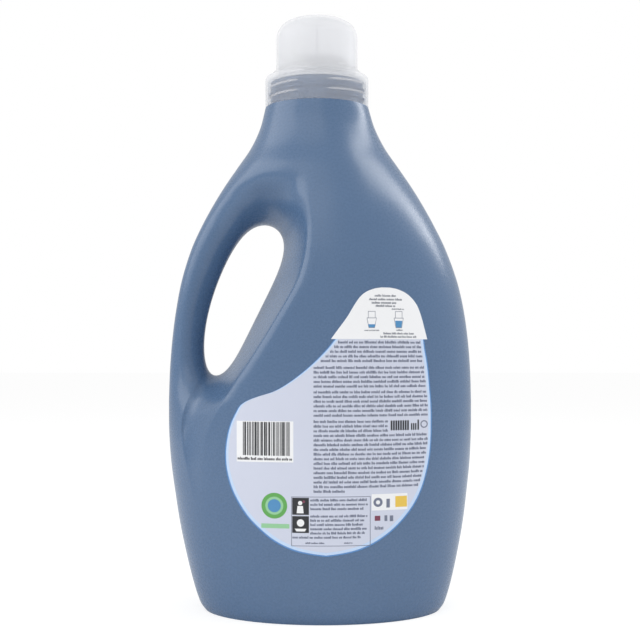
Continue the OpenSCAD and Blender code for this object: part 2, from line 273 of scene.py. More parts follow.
@dataclass(frozen=True)
class Plastic:
    """A moulded polymer surface.

    Args:
        name: the material's name.
        colour: sRGB hex of the pigment.
        roughness: mean roughness of the skin.
        ior: refractive index of the polymer.
        grain_mm: width of the finest swell of the skin, drawn no finer than the render shows.
        grain_depth_mm: depth of that swell.
        swell_mm: width of the broad cooling waves.
        swell_depth_mm: depth of those waves.
        mottle: how far the colour drifts between patches.
        clear: share of light that goes straight through each face of a thin milky wall.
        glow: share of the milky rest that carries light on from behind.
        cloudy_z_mm: height over which the wall hides what stands further behind it.
        cloudy_clear: share that goes straight through above that height.
    """

    name: str
    colour: str
    roughness: float
    ior: float
    grain_mm: float = 1.4
    grain_depth_mm: float = 0.012
    swell_mm: float = 22.0
    swell_depth_mm: float = 0.05
    mottle: float = 0.06
    clear: float = 0.0
    glow: float = 0.62
    cloudy_z_mm: float = 0.0
    cloudy_clear: float = 0.0

    def build(self) -> bpy.types.Material:
        """Makes the material's nodes."""
        material = bpy.data.materials.new(self.name)
        node = partial(add_node, empty_tree(material))
        place = node("ShaderNodeTexCoord", {}).outputs["Object"]
        broad, fine = (
            node(
                "ShaderNodeTexNoise",
                {"Vector": place, "Scale": 1 / (wide * MM), "Detail": detail, "Roughness": rough},
                noise_dimensions="3D",
            ).outputs["Fac"]
            for wide, detail, rough in ((self.swell_mm, 2.0, 0.45), (self.grain_mm, 3.0, 0.55))
        )
        pigment = linear(self.colour)
        pale = [min(1.0, c * (1 + self.mottle)) for c in pigment[:3]] + [1.0]
        deep = [c * (1 - self.mottle) for c in pigment[:3]] + [1.0]
        tint = node("ShaderNodeMix", {"Factor": broad, "A": deep, "B": pale}, data_type="RGBA")
        low, high = self.roughness - 0.03, self.roughness + 0.04
        rough = node(
            "ShaderNodeMapRange",
            {"Value": fine, "From Min": 0.3, "From Max": 0.7, "To Min": low, "To Max": high},
        )
        normal = {}
        for height, depth_mm in ((broad, self.swell_depth_mm), (fine, self.grain_depth_mm)):
            relief = {"Height": height, "Distance": depth_mm * MM, "Strength": 1.0}
            bump = node("ShaderNodeBump", relief | normal)
            normal = {"Normal": bump.outputs["Normal"]}
        skin = {"Base Color": tint.outputs["Result"], "Roughness": rough.outputs["Result"]}
        shader = node("ShaderNodeBsdfPrincipled", skin | {"IOR": self.ior} | normal)
        surface = shader.outputs["BSDF"]
        if self.clear:
            glow = node("ShaderNodeBsdfTranslucent", {"Color": pigment})
            milk = node("ShaderNodeMixShader", {"Fac": self.glow, 1: surface, 2: glow.outputs["BSDF"]})
            through = node("ShaderNodeBsdfTransparent", {"Color": CLEAR_TINT})
            height = node("ShaderNodeSeparateXYZ", {0: place})
            share = node(
                "ShaderNodeMapRange",
                {
                    "Value": height.outputs["Z"],
                    "From Min": (self.cloudy_z_mm - 2) * MM,
                    "From Max": (self.cloudy_z_mm + 2) * MM,
                    "To Min": self.clear,
                    "To Max": self.cloudy_clear,
                },
            )
            wall = node(
                "ShaderNodeMixShader",
                {"Fac": share.outputs["Result"], 1: milk.outputs["Shader"], 2: through.outputs["BSDF"]},
            )
            surface = wall.outputs["Shader"]
        node("ShaderNodeOutputMaterial", {"Surface": surface})
        return material


def ink(name: str, colour: str) -> Plastic:
    """A flat printing ink on the label film, with the film's own satin."""
    grain = {"grain_mm": 0.9, "grain_depth_mm": 0.002, "mottle": 0.012}
    return Plastic(name, colour, roughness=0.42, ior=1.5, swell_mm=14.0, swell_depth_mm=0.004, **grain)


# Blown high-density polyethylene: a waxy satin skin, pigmented through
BOTTLE_HDPE = Plastic("hdpe_blown_blue", "#516C8E", 0.27, 1.54, grain_depth_mm=0.006, mottle=0.03)
# Injection-moulded natural polypropylene: milky white, smooth from the tool
SPOUT_PP = Plastic("pp_moulded_natural", "#E6E7E8", 0.33, 1.49, swell_depth_mm=0.01, mottle=0.01)
# Clarified polypropylene: milky clear, lets the neck show through as a soft grey-blue
CAP_PP = Plastic(
    "pp_clarified_frosted",
    "#F6F6F8",
    0.24,
    1.49,
    grain_depth_mm=0.002,
    swell_depth_mm=0.01,
    mottle=0.005,
    clear=0.7,
    cloudy_z_mm=296.0,
    cloudy_clear=0.58,
)
# The same polymer where a ridge makes the wall thicker, so less light goes straight through. It is made
# far milkier than the thicker wall alone would be, so the thread ridges show as pale arcs: partly real,
# partly a painted highlight for the glints that the thread catches.
CAP_PP_THICK_GLINT = replace(CAP_PP, name="pp_clarified_thick_glint", clear=0.06, cloudy_clear=0.4)


class InkTone(Enum):
    """The inks of the back label."""

    HALO = ink("ink_edge_blue", "#5A8CC6")
    PALE = ink("ink_pale_blue", "#C2D8F4")
    FIELD = ink("ink_lavender", "#CDD2E2")
    WHITE = ink("ink_white", "#EFF0F2")
    TEXT = ink("ink_slate", "#5E667C")
    FINE = ink("ink_fine_grey", "#6F7480")
    FRAME = ink("ink_line_grey", "#71788C")
    BLACK = ink("ink_black", "#26282E")
    GREEN = ink("ink_green", "#5FA653")
    LEAF = ink("ink_leaf_green", "#93C99A")
    YELLOW = ink("ink_yellow", "#E6C252")
    BLUE = ink("ink_blue", "#4F8DBE")
    PLUM = ink("ink_plum", "#7B3B52")


@dataclass
class JugForm:
    """The blown body as a height over the mould's parting plane, in millimetres.

    The width and depth tables hold shares of the half size by height, and rim holds the reach of the
    pocket by angle round the finger hole. The other tables hold places on X or depths by height. The
    rows and counts lay out the mesh.
    """

    body_w: float = 168.2
    body_d: float = 107.0
    ring_r: float = 28.7
    shoulder_z: float = 277.5
    waist_z: float = 115.0
    grip_d: float = 28.0
    hole_mid: float = 170.7
    hole_half: float = 41.9
    width_top: Table = (
        (115, 1), (131.8, 0.991), (148.5, 0.9676), (165.3, 0.927), (182, 0.8623), (198.8, 0.7597),
        (210, 0.666), (221.1, 0.558), (232.3, 0.4347), (243.5, 0.2961), (254.6, 0.1584),
        (265.8, 0.0603), (277.5, 0),
    )
    width_low: Table = (
        (0, 0.776), (3.4, 0.806), (14.5, 0.8499), (31.3, 0.8974), (48, 0.9359), (64.8, 0.9638),
        (81.5, 0.987), (98.3, 0.9982), (115, 1),
    )
    depth_top: Table = (
        (115, 1), (150, 0.99), (180, 0.94), (200, 0.85), (220, 0.69), (240, 0.42), (254, 0.19),
        (266, 0.055), (277.5, 0),
    )
    depth_low: Table = ((0, 0.905), (3.4, 0.93), (14.5, 0.945), (40, 0.965), (80, 0.99), (115, 1))
    lean: Table = (
        (0, 1.4), (48, 0.75), (98, 0), (165, -0.15), (210, -1.2), (254, -1.2), (277.5, -1.7),
    )
    rim: Table = (
        (-180, 1.9), (-170, 1.87), (-150, 1.4), (-120, 0.75), (-95, 0.5), (-75, 0.46), (-60, 0.49),
        (-43, 0.53), (-31, 0.66), (-21, 0.81), (-14, 0.93), (-8, 1), (-2, 1.04), (5, 1), (14, 0.81),
        (23, 0.64), (35, 0.52), (50, 0.48), (69, 0.5), (90, 0.56), (106, 0.6), (125, 0.8), (150, 1.4),
        (170, 1.87), (180, 1.9),
    )
    fold: Table = (
        (68, -62.4), (77.7, -62.4), (85.9, -61.8), (95.2, -60), (103.4, -57.2), (112.1, -52.6),
        (120.2, -47.6), (127.2, -43.2), (134.6, -38), (142.6, -32.7), (150, -27.9), (157.7, -23),
        (167.5, -17.2), (177.2, -12), (189.3, -7.8), (198, -6.3), (206.9, -6), (215.9, -7.6),
        (226.2, -12.6), (237.6, -18), (250, -16),
    )
    ridge: Table = (
        (60, -66.5), (68, -68.5), (80, -71.6), (92, -74), (104, -75), (114, -72.6), (124, -67.2),
        (131, -64.6), (140, -62), (150, -58.5), (170, -50),
    )
    valley: Table = ((60, 0), (76, 0.4), (90, 1.6), (104, 4.2), (118, 6), (132, 6.5), (150, 0))
    row_z: tuple[float, ...] = (
        0, 0.9, 3.4, 8, 16, 28, 42, 56, 68, 79, 89, 98, 107, 116, 125, 134, 143, 153, 164, 175, 186,
        196, 204, 211, 218, 225, 232, 239, 246, 253, 260, 266.5, 272, 275.5, 277.5,
    )
    row_lo: int = 15
    row_hi: int = 22
    counts: tuple[int, int, int, int] = (26, 18, 26, 44)

    def half_size(self, half: float, low: Table, top: Table, z: Values) -> Values:
        """A half size at a height: a share of the full one, and above the waist in to the neck."""
        above = self.ring_r + (half - self.ring_r) * look(top, z)
        return np.where(z > self.waist_z, above, half * look(low, z))

    def half_w(self, z: Values) -> Values:
        """Half width of the body at a height."""
        return self.half_size(self.body_w / 2, self.width_low, self.width_top, z)

    def half_d(self, z: Values) -> Values:
        """Half depth of the body at a height."""
        return self.half_size(self.body_d / 2, self.depth_low, self.depth_top, z)

    def mid_x(self, z: Values) -> Values:
        """Middle of the body on X at a height."""
        return look(self.lean, z)

    @property
    def axis_x(self) -> float:
        """Where the neck's axis stands on X."""
        return float(self.mid_x(self.shoulder_z))

    def hole_x(self, q: Values) -> Values:
        """Middle line of the finger hole, by q = height over its half height."""
        inner = -45.6 + 16.66 * q + 3.45 * q**2 - 3.16 * q**3 - 2.35 * q**4
        return np.where(q > 1, -31 + 4.7 * (q - 1), np.where(q < -1, -58.1 + 9.7 * (q + 1), inner))

    def hole_c(self, q: Values) -> Values:
        """Width factor of the finger hole at q."""
        inner = 14.8 + 4.2 * q + 3 * q * q
        return np.where(q > 1, 22 + 10.2 * (q - 1), np.where(q < -1, 13.6 + 1.8 * (-1 - q), inner))

    def hole_edge(self, q: Values, side: int) -> Values:
        """Left (-1) or right (1) edge of the finger hole at q."""
        return self.hole_x(q) + side * self.hole_c(q) * np.sqrt(np.maximum(0, 1 - q * q))

    @staticmethod
    def blend(a: Array, b: Array, power: Values) -> Array:
        """The smaller of two heights, rounded where they meet."""
        safe_a, safe_b = np.maximum(a, 1e-2), np.maximum(b, 1e-2)
        low, high = np.minimum(safe_a, safe_b), np.maximum(safe_a, safe_b)
        both = low * (1 + (low / high) ** power) ** (-1 / power)
        return np.where((a < 1e-2) | (b < 1e-2), 0.0, both)

    def bare_y(self, x: Array, z: Array) -> Array:
        """Half depth of the body before the pocket and the grip are formed."""
        t = (x - self.mid_x(z)) / self.half_w(z)
        return self.half_d(z) * np.sqrt(np.maximum(0, 1 - t * t))

    def pocket_y(self, x: Array, z: Array, full: Array) -> tuple[Array, Array]:
        """Half depth of the pocket that falls to the finger hole, and how crisp its rim is."""
        q = (z - self.hole_mid) / self.hole_half
        p = (x - self.hole_x(q)) / self.hole_c(q)
        e = np.maximum(0, np.hypot(p, q) - 1)
        angle = np.degrees(np.arctan2(q, p))
        edge = look(self.rim, angle)
        r = 0.12 + 0.18 * ease((np.abs(angle) - 70) / 70)
        depth = full * np.sqrt((e * e + 2 * r * e) / (edge * edge + 2 * r * edge))
        return depth, 5 + 25 * ease((90 - np.abs(angle + 20)) / 45)

    def grip_y(self, x: Array, z: Array) -> Array:
        """Half depth of the grip, which widens into the body at both its ends."""
        q = (z - self.hole_mid) / self.hole_half
        far = np.where(q > 0, ease((q - 0.4) / 1.15), ease((-q - 0.8) / 0.8))
        held = np.clip(q, -0.6, 0.6)
        held_z = self.hole_mid + held * self.hole_half
        own = (self.hole_edge(held, -1) - self.mid_x(held_z) + self.half_w(held_z)) / 2
        w = own + (self.half_w(z) - own) * far
        g = self.grip_d / 2 + (self.half_d(z) - self.grip_d / 2) * far
        u = np.clip((x - self.mid_x(z) + self.half_w(z)) / w, 0, 1)
        over = np.maximum(0, x - self.hole_x(q))
        round_side = np.sqrt(np.maximum(0, 1 - (1 - u) ** 2))
        return g * round_side * (1 + 1.2 * far**3) + over + 0.2 * over * over

    def skin_y(self, x: Array, z: Array) -> Array:
        """Half depth of the finished skin at a place seen from the front."""
        full = self.bare_y(x, z)
        pocket, crisp = self.pocket_y(x, z, full)
        gripped = self.blend(self.blend(full, pocket, crisp), self.grip_y(x, z), 7)
        left, right = look(self.ridge, z), look(self.fold, z)
        share = np.clip((x - left) / (right - left), 0, 1)
        crest = self.blend(self.bare_y(left, z), self.grip_y(left, z), 7)
        chord = crest + (self.bare_y(right, z) - crest) * share
        dip = look(self.valley, z) * np.sin(np.pi * share**0.66)
        floor = np.where(share < 1, chord - np.sqrt(dip * dip + 0.25) + 0.5, full)
        floor = floor + (full - floor) * ease((z - 132) / 16)
        under = self.blend(floor, pocket, crisp)
        side = ease((x - left + 1) / 2.4) * ease((z - 60) / 10) * (z < 170)
        near = gripped + (under - gripped) * side
        return full + (near - full) * ease((z - 55) / 10) * ease((248 - z) / 22)

    def surface(self, x: Array, z: Array, lift: float) -> Array:
        """Points on the label side, lifted off the skin along its normal.

        Args:
            x: places on X.
            z: heights.
            lift: distance off the skin, all in millimetres.

        Returns:
            One x, y, z for each place.
        """
        step = 0.4
        slope_x = (self.skin_y(x + step, z) - self.skin_y(x - step, z)) / (2 * step)
        slope_z = (self.skin_y(x, z + step) - self.skin_y(x, z - step)) / (2 * step)
        size = np.sqrt(1 + slope_x**2 + slope_z**2)
        y = -self.skin_y(x, z)
        off = lift / size
        return np.stack([x - off * slope_x, y - off, z - off * slope_z], axis=-1)

    def stops(self) -> tuple[int, int, int, int]:
        """Columns where the grip, the strip under the hole, the pocket's wall and the panel end."""
        left, right, fold_i, cols = (int(stop) for stop in np.cumsum(self.counts))
        return left, right, fold_i, cols

    def half_turn(self) -> Array:
        """Turn of each column round the neck, from the grip's side, in radians."""
        stops = (0,) + self.stops()
        return np.pi * np.interp(np.arange(stops[-1] + 1), stops, [0, 6, 11, 15, 28]) / 28

    def seek_edge(self, x: Array, side: int, q_start: float) -> Array:
        """Height of the finger hole's upper or lower edge over places on X, by halving."""
        low, high = np.full_like(x, q_start), np.ones_like(x)
        for _ in range(24):
            mid = (low + high) / 2
            inside = (x >= self.hole_edge(side * mid, -1)) & (x <= self.hole_edge(side * mid, 1))
            low, high = np.where(inside, mid, low), np.where(inside, high, mid)
        return self.hole_mid + side * low * self.hole_half

    def place_row(self, j: float) -> tuple[Array, Array]:
        """Places of one mesh row on the front of the body.

        Args:
            j: the row, in the CAD mesh's rows.

        Returns:
            The x and z of each column.
        """
        for low in (self.row_lo - 1, self.row_hi):
            if low < j < low + 1:
                (x0, z0), (x1, z1) = self.place_row(low), self.place_row(low + 1)
                z = z0 + (z1 - z0) * (j - low)
                t0 = (x0 - self.mid_x(z0)) / self.half_w(z0)
                t1 = (x1 - self.mid_x(z1)) / self.half_w(z1)
                return self.mid_x(z) + self.half_w(z) * (t0 + (t1 - t0) * (j - low)), z
        _, n_mid, n_wall, n_panel = self.counts
        left, right, fold_i, cols = self.stops()
        i = np.arange(cols + 1, dtype=float)
        z0 = float(np.interp(j, np.arange(len(self.row_z)), self.row_z))
        z = np.full_like(i, z0)
        q = (z - self.hole_mid) / self.hole_half
        a, m = self.half_w(z), self.mid_x(z)
        even = m - a * np.cos(self.half_turn())
        fx = look(self.fold, z)
        q_hi = (self.row_z[self.row_hi] - self.hole_mid) / self.hole_half
        if j < self.row_lo:
            el = look(self.ridge, z)
            er = el + 0.5 * (fx - el)
            far = ease((self.row_lo - j - 4) / 8)
        elif j > self.row_hi:
            el = self.hole_edge(q_hi, -1) + self.hole_x(q) - self.hole_x(q_hi)
            er = el + 0.62 * (fx - el)
            far = ease((j - self.row_hi - 2) / 7)
        else:
            el, er = self.hole_edge(q, -1), self.hole_edge(q, 1)
            far = 0.0
        strip = np.select(
            [i <= left, i < right, i < fold_i],
            [
                m - a + (el - m + a) * (1 - np.cos(np.pi * i / left)) / 2,
                el + (er - el) * (0.5 - np.cos(np.pi * (i - left) / n_mid) / 2),
                er + (fx - er) * (1 - np.cos(np.pi / 2 * (i - right) / n_wall)),
            ],
            fx + (m + a - fx) * np.sin(np.pi / 2 * (i - fold_i) / n_panel),
        )
        x = strip + (even - strip) * far
        inside = (i > left) & (i < right)
        side = 1 if j >= self.row_hi else -1
        if j >= self.row_hi or j <= self.row_lo:
            row = self.row_hi if side > 0 else self.row_lo
            z_row = self.row_z[row]
            q_row = (z_row - self.hole_mid) / self.hole_half
            low_x, high_x = self.hole_edge(q_row, -1), self.hole_edge(q_row, 1)
            reach = self.seek_edge(np.clip(x, low_x, high_x), side, abs(q_row)) - z_row
            z = z + np.where(inside, reach * 0.72 ** abs(j - row), 0)
        return x, z

    def mesh_rows(self) -> list[float]:
        """Rows of the fine mesh, in the CAD mesh's rows, closer together next to the hole's ends."""
        rows: list[float] = []
        for j in range(len(self.row_z) - 1):
            gap = self.row_z[j + 1] - self.row_z[j]
            parts = 8 if j in (self.row_hi, self.row_lo - 1) else max(2, round(gap / 1.6))
            for k in range(parts):
                u = k / parts
                if j == self.row_hi:
                    u = u * u
                if j == self.row_lo - 1:
                    u = 1 - (1 - u) ** 2
                rows.append(j + u)
        return rows + [len(self.row_z) - 1]


@dataclass(frozen=True)
class Ridge:
    """A rounded thread ridge on an upright wall. A negative rise turns it inwards.

    Args:
        wall_r: radius of the wall it stands on.
        rise: how far it stands off the wall.
        sunk: how far its root is sunk in the wall.
        wide: its width at the root.
        slim: share of the width that is left where it runs out.
        power: roundness of its section, from 1 for a sine down to 0 for a box.
        corners: points in its section.
    """

    wall_r: float
    rise: float
    sunk: float
    wide: float
    slim: float
    power: float
    corners: int

    def wind(self, name: str, axis_x: float, runs: list[Array]) -> Piece:
        """Winds the ridge round an axis.

        Args:
            name: the piece's name.
            axis_x: where the axis stands on X.
            runs: for each stretch, rows of turn from the front in radians, height and fullness.

        Returns:
            The ridge, closed at the ends of each stretch.
        """
        n = self.corners
        u = np.linspace(0, 1, n)
        points: list[Array] = []
        faces: Faces = []
        for run in runs:
            faces += tube_faces(sum(map(len, points)), len(run), n)
            turn, height, full = run.T[:, :, None]
            bulge = np.sin(np.pi * u) ** self.power
            r = self.wall_r - self.sunk + (self.sunk + self.rise * full) * bulge
            z = height + (u - 0.5) * self.wide * (self.slim + (1 - self.slim) * full)
            rows = np.stack([axis_x + r * np.sin(turn), -r * np.cos(turn), z], axis=-1)
            points.append(rows.reshape(-1, 3))
        made = make_object(name, np.concatenate(points), faces)
        clean(made, 0.0005)
        return made


@dataclass
class Jug:
    """The blown bottle with its hollow grip, threaded neck and raised base."""

    form: JugForm
    wall: float = 1.4
    push_up: float = 7.0
    neck_r: float = 25.65
    neck_top: float = 291.3
    thread_pitch: float = 5.0
    thread_turns: float = 1.75
    thread_start_z: float = 281.0
    # Rings of the raised base: share of the foot's outline and share of the push-up
    base_rings: Table = (
        (0.08, 1.0), (0.2, 0.985), (0.35, 0.93), (0.5, 0.84), (0.65, 0.68), (0.78, 0.45), (0.86, 0.25),
        (0.9, 0.1), (0.93, 0.02), (0.95, 0.0), (0.985, 0.0),
    )

    def skin(self) -> Piece:
        """Builds the whole outer skin, then gives it its wall.

        Returns:
            The hollow bottle without its thread.
        """
        form = self.form
        rows = form.mesh_rows()
        flat = [form.place_row(j) for j in rows]
        left, right, _, cols = form.stops()
        around = 2 * cols
        first_x, first_z = flat[0]
        first_y = -form.skin_y(first_x, first_z)
        middle = float(form.mid_x(0.0))
        rings = [
            (middle + (first_x - middle) * share, first_y * share, rise * self.push_up, -1)
            for share, rise in self.base_rings
        ]
        for j, (x, z) in zip(rows, flat):
            y = -form.skin_y(x, z)
            if form.row_lo <= j <= form.row_hi:
                y[left : right + 1] = 0
            rings.append((x, y, z, j))
        turn = form.half_turn()
        foot, top, r = form.shoulder_z, self.neck_top, self.neck_r
        neck_rings = (
            (r + 2.2, foot), (r + 0.5, foot), (r + 0.1, foot + 0.15), (r, foot + 0.6), (r, foot + 5),
            (r, foot + 9), (r, top - 0.6), (r - 0.15, top - 0.2), (r - 0.5, top),
        )
        rings += [(form.axis_x - r * np.cos(turn), -r * np.sin(turn), z, -1) for r, z in neck_rings]
        points: list[Array] = []
        for x, y, z, _ in rings:
            y[[0, -1]] = 0
            ring = np.stack([x, y, np.broadcast_to(z, x.shape)], axis=1)
            points += [ring, ring[cols - 1 : 0 : -1] * np.array([1, -1, 1])]
        faces: Faces = [tuple(range(around))]
        for r in range(len(rings) - 1):
            j0, j1 = rings[r][-1], rings[r + 1][-1]
            in_hole = j0 >= form.row_lo and 0 <= j1 <= form.row_hi
            for k in range(around):
                c = k if k < cols else around - 1 - k
                if in_hole and left <= c < right:
                    continue
                a, b = r * around + k, r * around + (k + 1) % around
                faces.append((a, b, b + around, a + around))
        skin = make_object("jug_body", np.concatenate(points), faces)
        clean(skin)
        apply_modifier(
            skin, "SOLIDIFY", thickness=self.wall * MM, offset=-1.0, use_even_offset=False, use_rim=True
        )
        return skin

    def thread(self) -> Piece:
        """Builds the neck's helical thread with run-in and run-out."""
        turns = np.linspace(0, self.thread_turns, 220)
        full = ease(np.minimum(turns, self.thread_turns - turns) / 0.08)
        height = self.thread_start_z + self.thread_pitch * turns
        run = np.stack([2 * np.pi * turns, height, full], axis=1)
        ridge = Ridge(self.neck_r, rise=0.95, sunk=0.4, wide=2.2, slim=0.35, power=0.7, corners=7)
        return ridge.wind("neck_thread", self.form.axis_x, [run])

    def build(self) -> list[Piece]:
        """Builds and dresses the bottle.

        Returns:
            The finished pieces.
        """
        body = self.skin()
        sharpen(body, 50)
        thread = self.thread()
        finish = BOTTLE_HDPE.build()
        for piece in (body, thread):
            piece.data.materials.append(finish)
            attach(piece, "jug")
        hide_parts("bottle")
        return [body, thread]


@dataclass
class DosingCap:
    """The measuring cup with its skirt, seal rib, inner tube, thread and mould line."""

    axis_x: float
    top: float = 327.6
    crown_h: float = 11.5
    skirt_r: float = 28.7
    skirt_z: float = 277.8
    edge_z: float = 293.8
    dome_r: float = 22.6
    dome_z: float = 298.2
    wall: float = 1.3
    tube_z: float = 272.3
    tube_r: float = 21.7
    seal_r: float = 24.75
    seal_z: float = 293.0
    thread_z: tuple[float, ...] = (283.3, 288.6)
    thread_pitch: float = 5.2
    thread_arcs: tuple[Point, ...] = ((-70, -22), (12, 76), (104, 160), (196, 256))

    def crown_line(self, shrink: float, steps: int) -> list[Point]:
        """The dome's rounded top as points from the axis outwards.

        Args:
            shrink: how far inside the outer skin the line runs, in millimetres.
            steps: how many points it has.
        """
        turns = [math.pi / 2 * k / steps for k in range(steps + 1)]
        reach = self.dome_r - shrink
        falls = [1 - max(0.0, math.cos(t)) ** 0.909 for t in turns]
        return [
            (reach * math.sin(t) ** 0.635, self.top - shrink - self.crown_h * fall)
            for t, fall in zip(turns, falls)
        ]

    def outline(self) -> list[Point]:
        """The cap's section as points of radius and height."""
        dome, skirt, tube = self.dome_r, self.skirt_r, self.tube_r
        inner, seal_in, seal_out = skirt - self.wall, self.seal_r - 0.5, self.seal_r + 0.5
        foot, edge, seal, tip = self.skirt_z, self.edge_z, self.seal_z, self.tube_z
        return [
            *self.crown_line(0, 24),
            *((dome + 0.05, self.dome_z + 1.2), (dome + 0.4, self.dome_z + 0.2)),
            (skirt - 2.2, edge + 1.15),
            *arc((skirt - 1.7, edge - 0.75), 1.7, 70, 0, 6),
            *((skirt, foot + 0.4), (skirt - 0.15, foot + 0.08), (skirt - 0.4, foot)),
            *((inner + 0.3, foot), (inner, foot + 0.4), (inner, edge - 1.8), (inner - 0.8, edge - 0.7)),
            *((seal_out, edge - 0.6), (seal_out, seal + 0.3), (seal_out - 0.35, seal + 0.05)),
            *((seal_in + 0.25, seal + 0.05), (seal_in, seal + 0.3), (seal_in, edge - 0.4)),
            *((dome + 0.1, edge - 0.1), (tube, tip + 0.6), (tube - 0.3, tip), (tube - 0.9, tip)),
            *((tube - 1.2, tip + 0.5), (dome - self.wall, self.dome_z)),
            *self.crown_line(self.wall, 20)[::-1],
        ]

    def thread(self) -> Piece:
        """The interrupted thread on the skirt's inner face, a low rounded ridge in eight arcs."""
        parts, fade = 28, 4
        steps = np.arange(parts + 1)
        full = ease(np.minimum(steps, parts - steps) / fade)
        runs = []
        for z_front in self.thread_z:
            for start, end in self.thread_arcs:
                turn = start + (end - start) * steps / parts
                height = z_front + self.thread_pitch * ((turn + 180) % 360 - 180) / 360
                runs.append(np.stack([np.radians(turn), height, full], axis=1))
        inner = self.skirt_r - self.wall
        ridge = Ridge(inner, rise=-0.5, sunk=-0.1, wide=1.15, slim=0.4, power=0.8, corners=6)
        return ridge.wind("cap_thread", self.axis_x, runs)

    def mould_line(self) -> Piece:
        """The fine rib that the core leaves down the front of the cup's inner wall."""
        inner = self.dome_r - self.wall
        low, high = self.dome_z + 2, self.top - 7.5
        points = []
        for z, deep in ((low, 0.05), (low + 2, 0.3), (high - 1.5, 0.3), (high, 0.05)):
            for x, y in ((-0.45, -0.05), (0.45, -0.05), (0.25, deep), (-0.25, deep)):
                points.append((self.axis_x + x, y - inner, z))
        made = make_object("cap_mould_line", np.array(points), tube_faces(0, 4, 4))
        clean(made, 0.0005)
        return made

    def build(self) -> list[Piece]:
        """Turns the cap and dresses it."""
        cup = spin_profile("dosing_cup", self.outline(), self.axis_x, 120)
        sharpen(cup, 42)
        pieces = [cup, self.thread(), self.mould_line()]
        # The thread ridges take the milkier finish, which paints the thread's glints in as pale arcs.
        thin, thick_glint = CAP_PP.build(), CAP_PP_THICK_GLINT.build()
        for piece, finish in zip(pieces, (thin, thick_glint, thin)):
            piece.data.materials.append(finish)
            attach(piece, "cap")
        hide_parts("dosing_cap")
        return pieces


